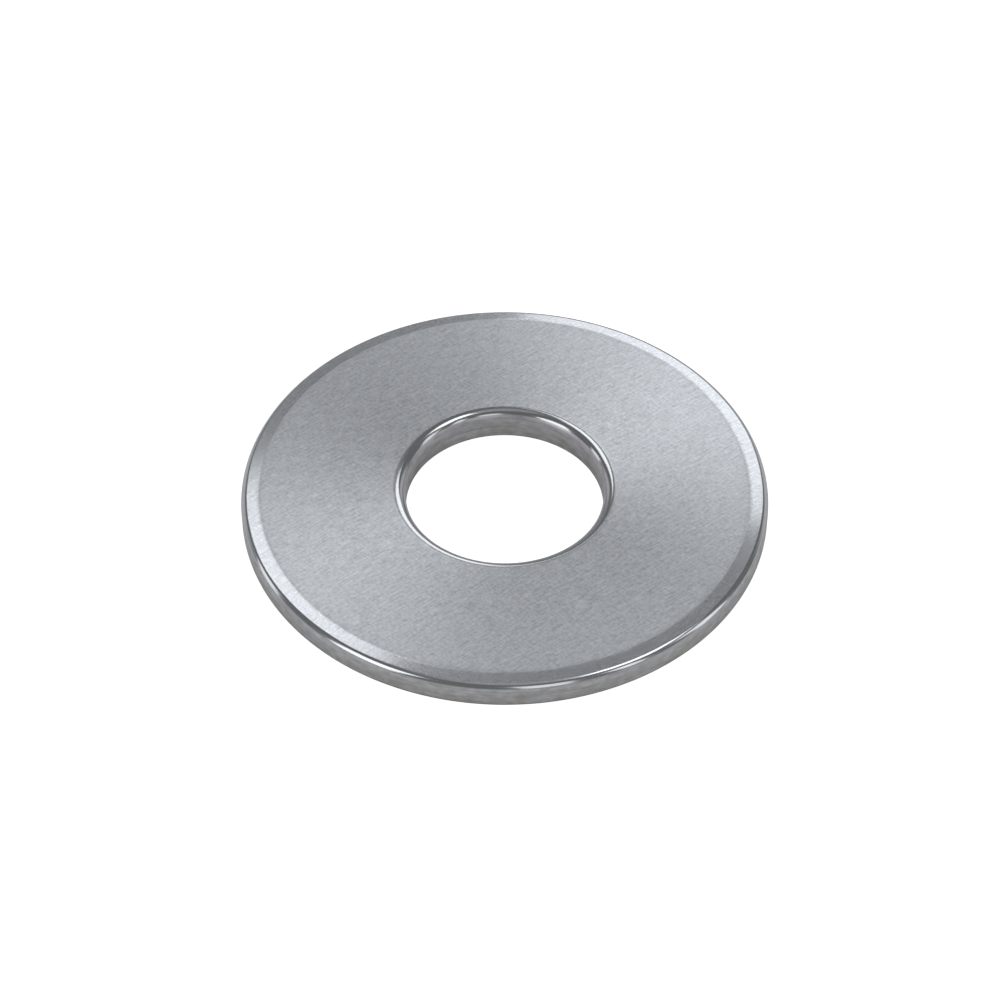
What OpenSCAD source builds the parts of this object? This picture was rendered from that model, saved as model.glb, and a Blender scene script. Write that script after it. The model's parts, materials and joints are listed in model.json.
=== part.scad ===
// Flat round washer, punched from stainless steel sheet and tumbled.
// It is one piece, lying on its burr side, with its bore's axis along Z.
// The origin is at the middle of the bottom face.
// The punch drew the sheet in along both edges of the top face. The outer rim
// has a sunken, sloping band that ends in a round corner at the wall, and the
// bore's edge is one full rounding. The bottom edges are only tumbled round.

/* [Washer] */
// Outer diameter
outer_diameter = 44.45; // [32:0.05:60]
// Diameter of the bore at its straight wall
bore_diameter = 16.7; // [8:0.1:28]
// Thickness between the two flat faces
thickness = 2.4; // [1.6:0.05:5]

/* [Rolled top edge of the rim] */
// Width of the sunken band and its corner, from the wall to the flat face
rim_roll_width = 1.5; // [1:0.05:3]
// Slope of the band below the flat face, in degrees
rim_roll_slope = 9; // [2:0.5:15]
// Radius of the corner between the band and the wall
rim_corner_radius = 0.65; // [0.2:0.05:0.9]

/* [Rolled top edge of the bore] */
// Radius of the rounding from the flat face to the bore's wall
bore_corner_radius = 0.95; // [0.3:0.05:1.2]

/* [Tumbled bottom edges] */
// Radius of the rim's bottom edge
rim_bottom_radius = 0.3; // [0.1:0.05:0.8]
// Radius of the bore's bottom edge
bore_bottom_radius = 0.2; // [0.1:0.05:0.7]

/* [Hidden] */
$fn = 180;
steel = [0.66, 0.67, 0.69];
rim_radius = outer_diameter / 2;
bore_radius = bore_diameter / 2;

// The rim's corner touches both the wall and the sloping band.
// This is how far the corner's centre lies below the flat face.
rim_corner_depth = (rim_corner_radius + (rim_roll_width - rim_corner_radius) * sin(rim_roll_slope))
                   / cos(rim_roll_slope);

rim_corner = [rim_radius - rim_corner_radius, thickness - rim_corner_depth];
bore_corner = [bore_radius + bore_corner_radius, thickness - bore_corner_radius];
rim_bottom = [rim_radius - rim_bottom_radius, rim_bottom_radius];
bore_bottom = [bore_radius + bore_bottom_radius, bore_bottom_radius];

// Where the rim's band meets its corner, on the side that faces up.
// Its end dips a hair into the corner's circle, so that the two cross at one clear point.
dip = 0.0002;
rim_band_end = rim_corner + (rim_corner_radius - dip) * [sin(rim_roll_slope), cos(rim_roll_slope)];

// Straight stretches of the section, with each rounded corner cut back to its centre
module straight_section() {
    polygon([
        [bore_bottom[0], 0],
        [rim_bottom[0], 0],
        rim_bottom,
        [rim_radius, rim_bottom[1]],
        [rim_radius, rim_corner[1]],
        rim_corner,
        rim_band_end,
        [rim_radius - rim_roll_width, thickness],
        [bore_corner[0], thickness],
        bore_corner,
        [bore_radius, bore_corner[1]],
        [bore_radius, bore_bottom[1]],
        bore_bottom
    ]);
}

module corner_disc(centre, radius) {
    translate(centre)
    circle(r = radius);
}

// Section through the ring, to the right of the axis
module ring_section() {
    straight_section();
    corner_disc(rim_corner, rim_corner_radius);
    corner_disc(bore_corner, bore_corner_radius);
    corner_disc(rim_bottom, rim_bottom_radius);
    corner_disc(bore_bottom, bore_bottom_radius);
}

module washer() {
    color(steel)
    rotate_extrude()
    ring_section();
}

washer();
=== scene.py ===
"""Stainless steel washer on a pale table in a soft studio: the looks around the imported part."""
import json
import math
import bpy
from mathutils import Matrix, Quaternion, Vector


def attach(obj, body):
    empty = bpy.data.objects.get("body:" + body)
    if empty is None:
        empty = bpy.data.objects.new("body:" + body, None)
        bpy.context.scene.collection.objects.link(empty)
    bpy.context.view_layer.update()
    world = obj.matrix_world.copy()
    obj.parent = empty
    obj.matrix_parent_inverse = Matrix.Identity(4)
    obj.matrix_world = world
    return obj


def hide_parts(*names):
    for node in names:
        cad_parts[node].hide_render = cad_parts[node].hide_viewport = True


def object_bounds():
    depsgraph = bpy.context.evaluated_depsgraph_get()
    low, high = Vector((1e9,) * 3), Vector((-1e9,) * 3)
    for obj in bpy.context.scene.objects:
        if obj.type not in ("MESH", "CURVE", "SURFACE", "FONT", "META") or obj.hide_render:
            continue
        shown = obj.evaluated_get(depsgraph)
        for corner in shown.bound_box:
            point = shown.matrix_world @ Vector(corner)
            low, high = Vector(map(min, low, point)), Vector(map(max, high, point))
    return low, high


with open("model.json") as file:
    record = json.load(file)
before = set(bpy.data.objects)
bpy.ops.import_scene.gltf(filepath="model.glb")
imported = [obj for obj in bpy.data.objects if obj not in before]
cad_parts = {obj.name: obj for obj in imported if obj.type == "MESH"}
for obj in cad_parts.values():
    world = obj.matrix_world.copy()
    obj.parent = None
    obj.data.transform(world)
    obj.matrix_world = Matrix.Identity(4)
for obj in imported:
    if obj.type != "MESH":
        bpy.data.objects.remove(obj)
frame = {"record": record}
cad_low, cad_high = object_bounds()

MM = 0.001

# Sizes of the ring, in metres, as the frame states them
RIM_RADIUS = cad_high.x
THICKNESS = cad_high.z
BORE_RADIUS = frame["record"]["mounts"][0]["dims"]["r_mm"] * MM

# Rolled top edge of the rim: a sunken band, softly blended into the flat face, and a round corner
RIM_ROLL_WIDTH = 1.52 * MM
RIM_ROLL_SLOPE = math.radians(9)
RIM_BLEND_RADIUS = 3.0 * MM
RIM_CORNER_RADIUS = 0.65 * MM

# Rolled top edge of the bore: one full rounding. The flat face is polished a little way out from it.
BORE_CORNER_RADIUS = 0.95 * MM
BORE_POLISH_WIDTH = 0.4 * MM

# The punch drew the sheet in a little more on the far side: there the bore's rolled edge lies further out
# by up to the first of these. The second is the radius up to which points lean, a hair past the rounding.
BORE_LEAN = 0.32 * MM
BORE_LEAN_REACH = BORE_RADIUS + BORE_CORNER_RADIUS + 0.01 * MM

# The leaning wall's normals take this share of its tilt, so that it passes softly into the rounding.
# A height this far past the wall's top, as a share of the wall, still counts as the wall.
LEAN_TILT_SHARE = 0.5
HEIGHT_TOLERANCE = 0.001

# The roundings are burnished down to these slopes. Below them the finish is that of the punched wall.
# The rim's corner has the band's duller finish where it starts, up to a slope of its own.
RIM_DULL_TO = math.radians(15.5)
RIM_BURNISHED_TO = math.radians(61)
BORE_BURNISHED_TO = math.radians(48)

# Tumbled bottom edges
RIM_BOTTOM_RADIUS = 0.3 * MM
BORE_BOTTOM_RADIUS = 0.2 * MM

# Fineness of the lathed mesh: segments round the axis, and steps along the section's stretches
SEGMENTS = 720
ARC_STEPS = 14
DULL_STEPS = 3
BAND_STEPS = 2
BLEND_STEPS = 5
FLAT_STEPS = 6

# Angles of a normal in the section, from straight outwards over straight up to straight inwards
OUTWARDS = 0
UP = math.pi / 2
INWARDS = math.pi
DOWN = -math.pi / 2

# Direction of the scratches that cross the whole washer, and of the fewer ones that cross these
SCRATCH_ANGLE = math.radians(38)
CROSSING_ANGLE = math.radians(-40)

# Sizes of the features in the steel's texture, in metres: along a scratch, across it, and upwards
SCRATCH_SIZE = (1.4 * MM, 0.14 * MM, 1.0)
CROSSING_SIZE = (0.9 * MM, 0.16 * MM, 1.0)
HATCHING_SIZE = (0.045 * MM, 0.012 * MM, 0.045 * MM)
GRAIN_SIZE = (0.26 * MM, 0.26 * MM, 0.26 * MM)
CLOUD_SIZE = (5 * MM, 5 * MM, 5 * MM)

# Least and greatest share of the roughness that the clouds leave
CLOUD_SHARES = (0.95, 1.05)

# Values of the hatching's noise where it starts to dull the steel and where it dulls it fully
HATCHING_FROM = 0.49
HATCHING_TO = 0.61

# The steel is a little darker towards the bore and paler towards the rim: two radii, and the tones there
PALER_RADII = (11 * MM, 20 * MM)
PALER_TONES = (-0.02, 0.05)

# The punched walls have level streaks, patches and stains. Their sizes are in metres.
STREAK_SIZE = (5 * MM, 5 * MM, 0.17 * MM)
PATCH_SIZE = (0.8 * MM, 0.8 * MM, 0.4 * MM)
STAIN_SIZE = (3 * MM, 3 * MM, 1.5 * MM)
STREAK_TONE = 0.16
STREAK_DEPTH = 0.002 * MM
PATCH_TONE = 0.2
PATCH_ROUGHNESS = (0.34, 0.46)

# Heights between which a wall turns from its warm colour to its cool one, how far stains shift that,
# and heights between which the crown's tone sets in
COOL_HEIGHTS = (0.2 * MM, 1.5 * MM)
STAIN_SHIFT = 0.5
CROWN_HEIGHTS = (1.6 * MM, 1.9 * MM)

# How rough the satin is, how rough it gets where it passes into the band and into the bore's rounding,
# and how far its shine is drawn out, from 0 to 1
SATIN = 0.40
SATIN_AT_BAND = 0.16
SATIN_AT_BORE = 0.24
DRAWN_OUT = 0.6

# Turns the drawn out shine from along the rings to across them: a quarter of a full turn
QUARTER_TURN = 0.25

# How much lighter or darker the steel's texture gets at most
TONE_RANGE = 0.35

# Noise stays between these two values nearly everywhere
NOISE_LOW = 0.25
NOISE_HIGH = 0.75

# Sockets of the mixing node, for colours and then for plain values
MIX_FACTOR = 0
MIX_FIRST = 6
MIX_SECOND = 7
MIX_RESULT = 2
MIX_FIRST_VALUE = 2
MIX_SECOND_VALUE = 3

# The photograph's size in pixels, where the washer's origin lies in it, and the camera that took it.
# The camera's distance is in metres, its sensor and lens in millimetres.
PHOTO_SIZE = 1000
WASHER_IN_PHOTO = (504.7, 505.5)
CAMERA_ELEVATION = math.radians(46.1)
CAMERA_DISTANCE = 0.255
SENSOR_WIDTH = 36.0
LENS = 108.2

# The studio's table and how far away the lights are, in metres
FLOOR_RADIUS = 6.0
FLOOR_CORNERS = 64
FLOOR_GAP = 0.00001
LIGHT_DISTANCE = 1.5
CLOSE_LIGHT_DISTANCE = 0.35

# How brightly the table glows towards the washer and towards the camera
GLOW_TO_WASHER = 0.12
GLOW_TO_CAMERA = 0.9

# Brightness of the room around, of its pale ceiling right above, of the pale wall low on the near side,
# of the one low on the far side, and of its ends to the left and right
DIM_ROOM = 0.18
PALE_CEILING = 0.4
NEAR_WALL = 0.42
FAR_WALL = 0.32
FAR_WALL_ENDS = 0.55

# Where the ceiling and the walls set in, as parts of a unit vector: first where there is nothing of them
# yet, then where they are full. Heights are upwards, depths away from the camera, sides to both sides.
CEILING_HEIGHTS = (0.955, 0.985)
NEAR_WALL_HEIGHTS = (0.35, 0.15)
NEAR_WALL_DEPTHS = (0.3, -0.1)
FAR_WALL_HEIGHTS = (0.45, 0.33)
FAR_WALL_DEPTHS = (0.35, 0.55)
FAR_WALL_SIDES = (0.5, 0.62)


def straight(start, end, normal, steps=1):
    """Points (radius, height, normal) along a line, both ends included."""
    return [
        (start[0] + (end[0] - start[0]) * k / steps, start[1] + (end[1] - start[1]) * k / steps, normal)
        for k in range(steps + 1)
    ]


def arc(centre, radius, start, end, steps=ARC_STEPS):
    """Points (radius, height, normal) along an arc, both ends included."""
    points = []
    for k in range(steps + 1):
        angle = start + (end - start) * k / steps
        points.append((centre[0] + radius * math.cos(angle), centre[1] + radius * math.sin(angle), angle))
    return points


def ring_section():
    """The ring's section as stretches (zone, points), along the bottom, up the rim and back over the top."""
    band_normal = UP - RIM_ROLL_SLOPE
    band_drop = (RIM_ROLL_WIDTH - RIM_CORNER_RADIUS) * math.sin(RIM_ROLL_SLOPE)
    corner_depth = (RIM_CORNER_RADIUS + band_drop) / math.cos(RIM_ROLL_SLOPE)
    blend_reach = RIM_BLEND_RADIUS * math.tan(RIM_ROLL_SLOPE / 2)
    rim_corner = (RIM_RADIUS - RIM_CORNER_RADIUS, THICKNESS - corner_depth)
    rim_blend = (RIM_RADIUS - RIM_ROLL_WIDTH - blend_reach, THICKNESS - RIM_BLEND_RADIUS)
    bore_corner = (BORE_RADIUS + BORE_CORNER_RADIUS, THICKNESS - BORE_CORNER_RADIUS)
    rim_bottom = (RIM_RADIUS - RIM_BOTTOM_RADIUS, RIM_BOTTOM_RADIUS)
    bore_bottom = (BORE_RADIUS + BORE_BOTTOM_RADIUS, BORE_BOTTOM_RADIUS)
    wall_arc = arc(rim_corner, RIM_CORNER_RADIUS, OUTWARDS, UP - RIM_BURNISHED_TO)
    corner_arc = arc(rim_corner, RIM_CORNER_RADIUS, UP - RIM_BURNISHED_TO, UP - RIM_DULL_TO)
    dull_arc = arc(rim_corner, RIM_CORNER_RADIUS, UP - RIM_DULL_TO, band_normal, DULL_STEPS)
    blend_arc = arc(rim_blend, RIM_BLEND_RADIUS, band_normal, UP, BLEND_STEPS)
    bottom = straight((bore_bottom[0], 0), (rim_bottom[0], 0), DOWN, FLAT_STEPS)
    rim_wall = straight((RIM_RADIUS, rim_bottom[1]), (RIM_RADIUS, rim_corner[1]), OUTWARDS)
    polish_edge = (bore_corner[0] + BORE_POLISH_WIDTH, THICKNESS)
    face = straight((rim_blend[0], THICKNESS), polish_edge, UP, FLAT_STEPS)
    bore_wall = straight((BORE_RADIUS, bore_corner[1]), (BORE_RADIUS, bore_bottom[1]), INWARDS)
    return [
        ("bottom", bottom),
        ("rim_edge", arc(rim_bottom, RIM_BOTTOM_RADIUS, DOWN, OUTWARDS)),
        ("rim_wall", rim_wall),
        ("rim_wall", wall_arc),
        ("rim_corner", corner_arc),
        ("rim_band", dull_arc),
        ("rim_band", straight(dull_arc[-1], blend_arc[0], band_normal, BAND_STEPS)),
        ("rim_blend", blend_arc),
        ("face", face),
        ("bore_polish", straight(polish_edge, (bore_corner[0], THICKNESS), UP)),
        ("bore_corner", arc(bore_corner, BORE_CORNER_RADIUS, UP, UP + BORE_BURNISHED_TO)),
        ("bore_wall", arc(bore_corner, BORE_CORNER_RADIUS, UP + BORE_BURNISHED_TO, INWARDS)),
        ("bore_wall", bore_wall),
        ("bore_edge", arc(bore_bottom, BORE_BOTTOM_RADIUS, INWARDS, INWARDS + math.pi / 2)),
    ]


def edge_radii(stretches, wanted):
    """The least and the greatest radius of a zone."""
    radii = [point[0] for zone, points in stretches if zone == wanted for point in points]
    return min(radii), max(radii)


def leaning(radius, height, normal, turn):
    """A point's radius and its normal's radial and upward parts, once the bore's wall leans out."""
    across, upward = math.cos(normal), math.sin(normal)
    if radius > BORE_LEAN_REACH or height < BORE_BOTTOM_RADIUS:
        return radius, across, upward
    push = BORE_LEAN * max(0, math.sin(turn)) ** 2
    wall_height = THICKNESS - BORE_CORNER_RADIUS - BORE_BOTTOM_RADIUS
    rise = (height - BORE_BOTTOM_RADIUS) / wall_height
    if rise < 1 + HEIGHT_TOLERANCE:
        upward -= push / wall_height * across * LEAN_TILT_SHARE
    length = math.hypot(across, upward)
    return radius + push * min(1, rise), across / length, upward / length


def lathe(name, stretches, materials):
    """Turns the closed section round Z, with the section's own normals."""
    profile = []
    zones = []
    for zone, points in stretches:
        profile.extend(points[1:])
        zones.extend([zone] * (len(points) - 1))
    count = len(profile)
    vertices = []
    normals = []
    for radius, height, normal in profile:
        for k in range(SEGMENTS):
            turn = 2 * math.pi * k / SEGMENTS
            reach, across, upward = leaning(radius, height, normal, turn)
            vertices.append((reach * math.cos(turn), reach * math.sin(turn), height))
            normals.append((across * math.cos(turn), across * math.sin(turn), upward))
    names = sorted(set(zones))
    faces = []
    slots = []
    for i in range(count):
        before = (i - 1) % count
        for k in range(SEGMENTS):
            after = (k + 1) % SEGMENTS
            faces.append(
                (before * SEGMENTS + k, before * SEGMENTS + after, i * SEGMENTS + after, i * SEGMENTS + k)
            )
            slots.append(names.index(zones[i]))
    mesh = bpy.data.meshes.new(name)
    mesh.from_pydata(vertices, [], faces)
    for zone in names:
        mesh.materials.append(materials[zone])
    mesh.polygons.foreach_set("material_index", slots)
    mesh.shade_smooth()
    mesh.normals_split_custom_set_from_vertices(normals)
    mesh.update()
    piece = bpy.data.objects.new(name, mesh)
    bpy.context.collection.objects.link(piece)
    return piece


def add(tree, kind, inputs=None, **attributes):
    """Adds a node. An input that is a socket is linked, any other value is set on the node's own socket."""
    node = tree.nodes.new(kind)
    for key, value in attributes.items():
        setattr(node, key, value)
    for key, value in (inputs or {}).items():
        if isinstance(value, bpy.types.NodeSocket):
            tree.links.new(value, node.inputs[key])
        else:
            node.inputs[key].default_value = value
    return node


def new_material(name):
    """A material with an empty node tree."""
    material = bpy.data.materials.new(name)
    material.use_nodes = True
    material.node_tree.nodes.clear()
    return material


def stretched_noise(tree, coordinates, turn, size, detail=2.0):
    """Noise whose features have the given size along and across a direction in the plane, in metres."""
    mapping = add(
        tree, "ShaderNodeMapping",
        {"Vector": coordinates, "Rotation": (0, 0, turn), "Scale": size}, vector_type="TEXTURE",
    )
    noise = add(tree, "ShaderNodeTexNoise", {"Vector": mapping.outputs[0], "Scale": 1.0, "Detail": detail})
    return noise.outputs["Fac"]


def spread(tree, value, low, high):
    """Noise around 0.5 stretched to the range from low to high."""
    node = add(
        tree, "ShaderNodeMapRange",
        {"Value": value, "From Min": NOISE_LOW, "From Max": NOISE_HIGH, "To Min": low, "To Max": high},
    )
    return node.outputs[0]


def fade(tree, value, nothing, full):
    """How far the value has come from the one end to the other, from 0 to 1."""
    node = add(tree, "ShaderNodeMapRange", {"Value": value, "From Min": nothing, "From Max": full})
    return node.outputs[0]


def sum_of(tree, first, second):
    return add(tree, "ShaderNodeMath", {0: first, 1: second}, operation="ADD").outputs[0]


def blend_colours(tree, factor, first, second):
    node = add(
        tree, "ShaderNodeMix",
        {MIX_FACTOR: factor, MIX_FIRST: first, MIX_SECOND: second}, data_type="RGBA",
    )
    return node.outputs[MIX_RESULT]


def shade(colour, factor):
    """The colour, lighter or darker, as an opaque colour value."""
    return (*(min(1.0, c * factor) for c in colour), 1.0)


def by_radius(tree, coordinates, first_radius, first_value, last_radius, last_value):
    """A value that changes smoothly with the distance from the axis, between two radii."""
    flat = add(tree, "ShaderNodeVectorMath", {0: coordinates, 1: (1, 1, 0)}, operation="MULTIPLY")
    radius = add(tree, "ShaderNodeVectorMath", {0: flat.outputs[0]}, operation="LENGTH").outputs["Value"]
    node = add(
        tree, "ShaderNodeMapRange",
        {"Value": radius, "From Min": first_radius, "From Max": last_radius,
         "To Min": first_value, "To Max": last_value},
        interpolation_type="SMOOTHSTEP",
    )
    return node.outputs[0]


def times(tree, first, second):
    return add(tree, "ShaderNodeMath", {0: first, 1: second}, operation="MULTIPLY").outputs[0]


def toned(tree, tone, colour):
    """The colour, made lighter or darker by the tone."""
    factor = fade(tree, tone, -TONE_RANGE, TONE_RANGE)
    return blend_colours(tree, factor, shade(colour, 1 - TONE_RANGE), shade(colour, 1 + TONE_RANGE))


def steel(
    name, colour, roughness, anisotropy, scratch_depth, scratch_tone, grain_tone, radii=None, dulled=0,
):
    """Steel with fine linear scratches and a grain. Its shine can be drawn out across concentric rings.

    The roughness is one value, or a pair of values at the two given radii. Fine hatching adds up to the
    value of dulled to it. Towards the rim the steel is a little paler.
    """
    material = new_material(name)
    tree = material.node_tree
    coordinates = add(tree, "ShaderNodeTexCoord").outputs["Object"]
    scratches = stretched_noise(tree, coordinates, SCRATCH_ANGLE, SCRATCH_SIZE)
    crossing = stretched_noise(tree, coordinates, CROSSING_ANGLE, CROSSING_SIZE)
    grain = stretched_noise(tree, coordinates, 0, GRAIN_SIZE)
    clouds = spread(tree, stretched_noise(tree, coordinates, 0, CLOUD_SIZE), *CLOUD_SHARES)
    if radii:
        roughness = by_radius(tree, coordinates, radii[0], roughness[0], radii[1], roughness[1])
    clouded = times(tree, clouds, roughness)
    if dulled:
        fine = stretched_noise(tree, coordinates, SCRATCH_ANGLE, HATCHING_SIZE, detail=0.0)
        hatching = add(
            tree, "ShaderNodeMapRange",
            {"Value": fine, "From Min": HATCHING_FROM, "From Max": HATCHING_TO, "To Max": dulled},
        )
        clouded = sum_of(tree, clouded, hatching.outputs[0])
    lines = sum_of(
        tree, spread(tree, scratches, -scratch_tone, scratch_tone),
        spread(tree, crossing, -scratch_tone / 2, scratch_tone / 2),
    )
    paler = by_radius(tree, coordinates, PALER_RADII[0], PALER_TONES[0], PALER_RADII[1], PALER_TONES[1])
    tone = sum_of(tree, sum_of(tree, lines, paler), spread(tree, grain, -grain_tone, grain_tone))
    bump = add(tree, "ShaderNodeBump", {"Height": scratches, "Strength": 1.0, "Distance": scratch_depth})
    tangent = add(tree, "ShaderNodeTangent", direction_type="RADIAL", axis="Z")
    shader = add(
        tree, "ShaderNodeBsdfPrincipled",
        {
            "Base Color": toned(tree, tone, colour),
            "Metallic": 1.0,
            "Roughness": clouded,
            "Anisotropic": anisotropy,
            "Anisotropic Rotation": QUARTER_TURN,
            "Normal": bump.outputs[0],
            "Tangent": tangent.outputs[0],
        },
    )
    add(tree, "ShaderNodeOutputMaterial", {"Surface": shader.outputs[0]})
    return material


def punched_steel(name, cool_colour, warm_colour, crown_tone):
    """A wall as the punch leaves it: level streaks and patches, cool near the top, warmer near the bottom.

    Right under the burnished rounding it is lighter by the crown's tone.
    """
    material = new_material(name)
    tree = material.node_tree
    coordinates = add(tree, "ShaderNodeTexCoord").outputs["Object"]
    streaks = stretched_noise(tree, coordinates, 0, STREAK_SIZE)
    patches = stretched_noise(tree, coordinates, 0, PATCH_SIZE)
    stains = stretched_noise(tree, coordinates, 0, STAIN_SIZE)
    tone = sum_of(
        tree, spread(tree, streaks, -STREAK_TONE, STREAK_TONE),
        spread(tree, patches, -PATCH_TONE, PATCH_TONE),
    )
    height = add(tree, "ShaderNodeSeparateXYZ", {0: coordinates}).outputs["Z"]
    tone = sum_of(tree, tone, times(tree, fade(tree, height, *CROWN_HEIGHTS), crown_tone))
    rise = fade(tree, height, *COOL_HEIGHTS)
    factor = sum_of(tree, rise, spread(tree, stains, -STAIN_SHIFT, STAIN_SHIFT))
    mixed = blend_colours(tree, factor, toned(tree, tone, warm_colour), toned(tree, tone, cool_colour))
    bump = add(tree, "ShaderNodeBump", {"Height": streaks, "Strength": 1.0, "Distance": STREAK_DEPTH})
    shader = add(
        tree, "ShaderNodeBsdfPrincipled",
        {"Base Color": mixed, "Metallic": 1.0, "Roughness": spread(tree, patches, *PATCH_ROUGHNESS),
         "Normal": bump.outputs[0]},
    )
    add(tree, "ShaderNodeOutputMaterial", {"Surface": shader.outputs[0]})
    return material


def washer_ring():
    """The whole washer, which stands for the solid: it hangs under the root and the imported part is hidden.
    """
    face_colour = (0.61, 0.635, 0.675)
    band_colour = (0.615, 0.64, 0.68)
    edge_colour = (0.58, 0.60, 0.625)
    rim_wall_cool = (0.555, 0.56, 0.58)
    rim_wall_warm = (0.48, 0.475, 0.465)
    bore_wall_cool = (0.465, 0.465, 0.485)
    bore_wall_warm = (0.40, 0.395, 0.385)
    # Painted shade: the rounded bottom edges are coloured dark where they meet the table
    contact_shade_colour = (0.24, 0.24, 0.24)
    stretches = ring_section()
    blend_radii = edge_radii(stretches, "rim_blend")
    polish_radii = edge_radii(stretches, "bore_polish")
    face = steel(
        "satin_face", face_colour, roughness=SATIN, anisotropy=DRAWN_OUT,
        scratch_depth=0.002 * MM, scratch_tone=0.17, grain_tone=0.15,
    )
    blend = steel(
        "blended_edge", face_colour, roughness=(SATIN, SATIN_AT_BAND), anisotropy=DRAWN_OUT,
        scratch_depth=0.005 * MM, scratch_tone=0.15, grain_tone=0.12, radii=blend_radii, dulled=0.3,
    )
    polish = steel(
        "polished_edge", face_colour, roughness=(SATIN_AT_BORE, SATIN), anisotropy=DRAWN_OUT,
        scratch_depth=0.0015 * MM, scratch_tone=0.12, grain_tone=0.12, radii=polish_radii,
    )
    band = steel(
        "rolled_band", band_colour, roughness=0.14, anisotropy=0.0,
        scratch_depth=0.0012 * MM, scratch_tone=0.1, grain_tone=0.08, dulled=0.37,
    )
    corner = steel(
        "burnished_corner", edge_colour, roughness=0.14, anisotropy=0.0,
        scratch_depth=0.0003 * MM, scratch_tone=0.03, grain_tone=0.03,
    )
    rim_wall = punched_steel("rim_wall", rim_wall_cool, rim_wall_warm, crown_tone=0.0)
    bore_wall = punched_steel("bore_wall", bore_wall_cool, bore_wall_warm, crown_tone=0.3)
    # The bottom edges' dark colour is painted shade where they touch the table, not the steel's own colour
    contact_shaded_edge = steel(
        "painted_contact_shade", contact_shade_colour, roughness=0.3, anisotropy=0.0,
        scratch_depth=0.001 * MM, scratch_tone=0.06, grain_tone=0.1,
    )
    materials = {
        "face": face,
        "bottom": face,
        "rim_blend": blend,
        "bore_polish": polish,
        "rim_band": band,
        "rim_corner": corner,
        "bore_corner": corner,
        "rim_edge": contact_shaded_edge,
        "bore_edge": contact_shaded_edge,
        "rim_wall": rim_wall,
        "bore_wall": bore_wall,
    }
    ring = lathe("washer_ring", stretches, materials)
    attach(ring, "root")
    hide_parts("washer")


def direction(azimuth, elevation):
    """Unit vector; azimuth is in degrees from +X towards +Y, elevation above the table."""
    turn = math.radians(azimuth)
    rise = math.radians(elevation)
    return Vector((math.cos(rise) * math.cos(turn), math.cos(rise) * math.sin(turn), math.sin(rise)))


def softbox(name, azimuth, elevation, width, height, turn, brightness, distance=LIGHT_DISTANCE):
    """Soft light that faces the washer. Its width, height and turn are in degrees, as seen from there."""
    lamp = bpy.data.lights.new(name, "AREA")
    lamp.shape = "RECTANGLE"
    lamp.size = 2 * distance * math.tan(math.radians(width / 2))
    lamp.size_y = 2 * distance * math.tan(math.radians(height / 2))
    lamp.energy = brightness * math.pi * lamp.size * lamp.size_y
    light = bpy.data.objects.new(name, lamp)
    towards = direction(azimuth, elevation)
    light.location = towards * distance
    light.rotation_mode = "QUATERNION"
    spin = Quaternion((0, 0, 1), math.radians(turn))
    light.rotation_quaternion = towards.to_track_quat("Z", "Y") @ spin
    light.visible_camera = False
    bpy.context.collection.objects.link(light)


def floor():
    """A round table that looks white to the camera and dimmer to the washer."""
    mesh = bpy.data.meshes.new("floor")
    turns = [2 * math.pi * k / FLOOR_CORNERS for k in range(FLOOR_CORNERS)]
    corners = [(FLOOR_RADIUS * math.cos(turn), FLOOR_RADIUS * math.sin(turn), 0) for turn in turns]
    mesh.from_pydata(corners, [], [tuple(range(FLOOR_CORNERS))])
    material = new_material("pale_table")
    tree = material.node_tree
    seen = add(tree, "ShaderNodeLightPath").outputs["Is Camera Ray"]
    glow = add(
        tree, "ShaderNodeMapRange", {"Value": seen, "To Min": GLOW_TO_WASHER, "To Max": GLOW_TO_CAMERA},
    ).outputs[0]
    shader = add(
        tree, "ShaderNodeBsdfPrincipled",
        {"Base Color": (0.8, 0.8, 0.8, 1), "Roughness": 0.9, "Specular IOR Level": 0.0,
         "Emission Color": (1, 1, 1, 1), "Emission Strength": glow},
    )
    add(tree, "ShaderNodeOutputMaterial", {"Surface": shader.outputs[0]})
    mesh.materials.append(material)
    table = bpy.data.objects.new("floor", mesh)
    table.location = (0, 0, -FLOOR_GAP)
    bpy.context.collection.objects.link(table)


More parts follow.
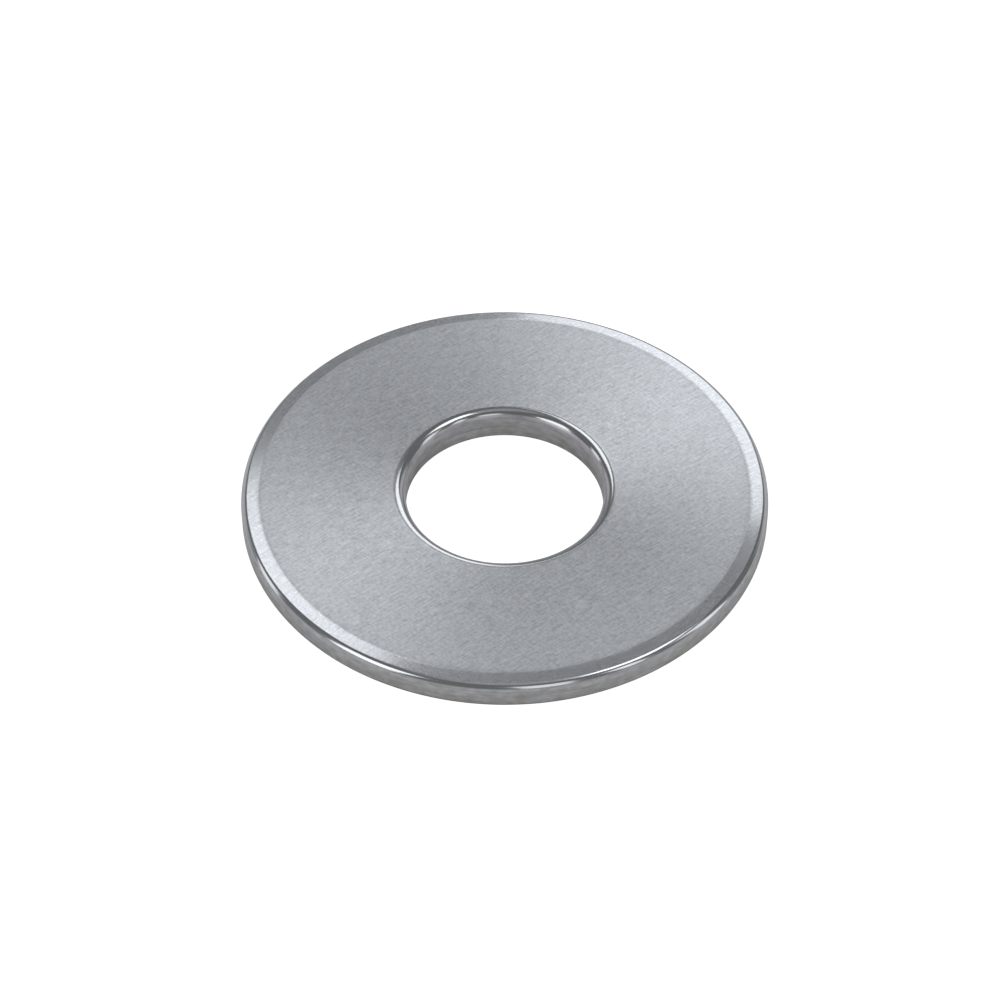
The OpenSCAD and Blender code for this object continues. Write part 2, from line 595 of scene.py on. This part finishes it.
def surroundings():
    """White where the camera looks past the table. The washer sees a dim room, paler above and low down."""
    world = bpy.data.worlds.new("studio")
    bpy.context.scene.world = world
    world.use_nodes = True
    tree = world.node_tree
    tree.nodes.clear()
    seen = add(tree, "ShaderNodeLightPath").outputs["Is Camera Ray"]
    look = add(tree, "ShaderNodeTexCoord").outputs["Generated"]
    axes = add(tree, "ShaderNodeSeparateXYZ", {0: look})
    sideways = add(tree, "ShaderNodeMath", {0: axes.outputs["X"]}, operation="ABSOLUTE").outputs[0]
    away = axes.outputs["Y"]
    upwards = axes.outputs["Z"]
    ceiling = fade(tree, upwards, *CEILING_HEIGHTS)
    near_wall = times(tree, fade(tree, upwards, *NEAR_WALL_HEIGHTS), fade(tree, away, *NEAR_WALL_DEPTHS))
    far_wall = times(tree, fade(tree, upwards, *FAR_WALL_HEIGHTS), fade(tree, away, *FAR_WALL_DEPTHS))
    wall_ends = times(tree, far_wall, fade(tree, sideways, *FAR_WALL_SIDES))
    room = sum_of(tree, times(tree, ceiling, PALE_CEILING - DIM_ROOM), DIM_ROOM)
    room = sum_of(tree, times(tree, near_wall, NEAR_WALL - DIM_ROOM), room)
    room = sum_of(tree, times(tree, far_wall, FAR_WALL - DIM_ROOM), room)
    room = sum_of(tree, times(tree, wall_ends, FAR_WALL_ENDS - FAR_WALL), room)
    strength = add(
        tree, "ShaderNodeMix", {MIX_FACTOR: seen, MIX_FIRST_VALUE: room, MIX_SECOND_VALUE: 1.0},
        data_type="FLOAT",
    ).outputs[0]
    background = add(tree, "ShaderNodeBackground", {"Color": (1, 1, 1, 1), "Strength": strength})
    add(tree, "ShaderNodeOutputWorld", {"Surface": background.outputs[0]})


def lights():
    """Three soft boxes and five strips round the washer."""
    softbox(
        "softbox_far_right", azimuth=74, elevation=33, width=27, height=24, turn=0, brightness=1.41,
        distance=CLOSE_LIGHT_DISTANCE,
    )
    softbox(
        "softbox_far_left", azimuth=118, elevation=53, width=22, height=23, turn=22, brightness=1.43,
    )
    softbox(
        "softbox_overhead", azimuth=5, elevation=67, width=18, height=20, turn=0, brightness=2.2,
    )
    softbox(
        "strip_left", azimuth=167, elevation=17, width=13, height=32, turn=19, brightness=1.0,
    )
    softbox(
        "strip_near_left", azimuth=215, elevation=34, width=26, height=36, turn=0, brightness=1.5,
    )
    softbox(
        "strip_near", azimuth=286, elevation=34, width=18, height=34, turn=0, brightness=0.9,
    )
    softbox(
        "strip_near_right", azimuth=320, elevation=34, width=9, height=30, turn=0, brightness=1.2,
    )
    softbox(
        "strip_right", azimuth=354, elevation=26, width=15, height=36, turn=0, brightness=1.0,
    )


def camera():
    """Looks at the washer as the photograph does."""
    data = bpy.data.cameras.new("camera")
    data.sensor_width = SENSOR_WIDTH
    data.lens = LENS
    view = bpy.data.objects.new("camera", data)
    bpy.context.collection.objects.link(view)
    away = Vector((0, -math.cos(CAMERA_ELEVATION), math.sin(CAMERA_ELEVATION)))
    upward = Vector((0, math.sin(CAMERA_ELEVATION), math.cos(CAMERA_ELEVATION)))
    pixel = SENSOR_WIDTH / LENS * CAMERA_DISTANCE / PHOTO_SIZE
    middle = PHOTO_SIZE / 2
    target = Vector((middle - WASHER_IN_PHOTO[0], 0, 0)) * pixel
    target += upward * (WASHER_IN_PHOTO[1] - middle) * pixel
    view.location = away * CAMERA_DISTANCE
    look = (target - view.location).normalized()
    view.rotation_mode = "QUATERNION"
    view.rotation_quaternion = look.to_track_quat("-Z", "Y")
    data.clip_start = 0.01
    data.clip_end = 100
    bpy.context.scene.camera = view
    bpy.context.scene.view_settings.view_transform = "Standard"


washer_ring()
floor()
surroundings()
lights()
camera()
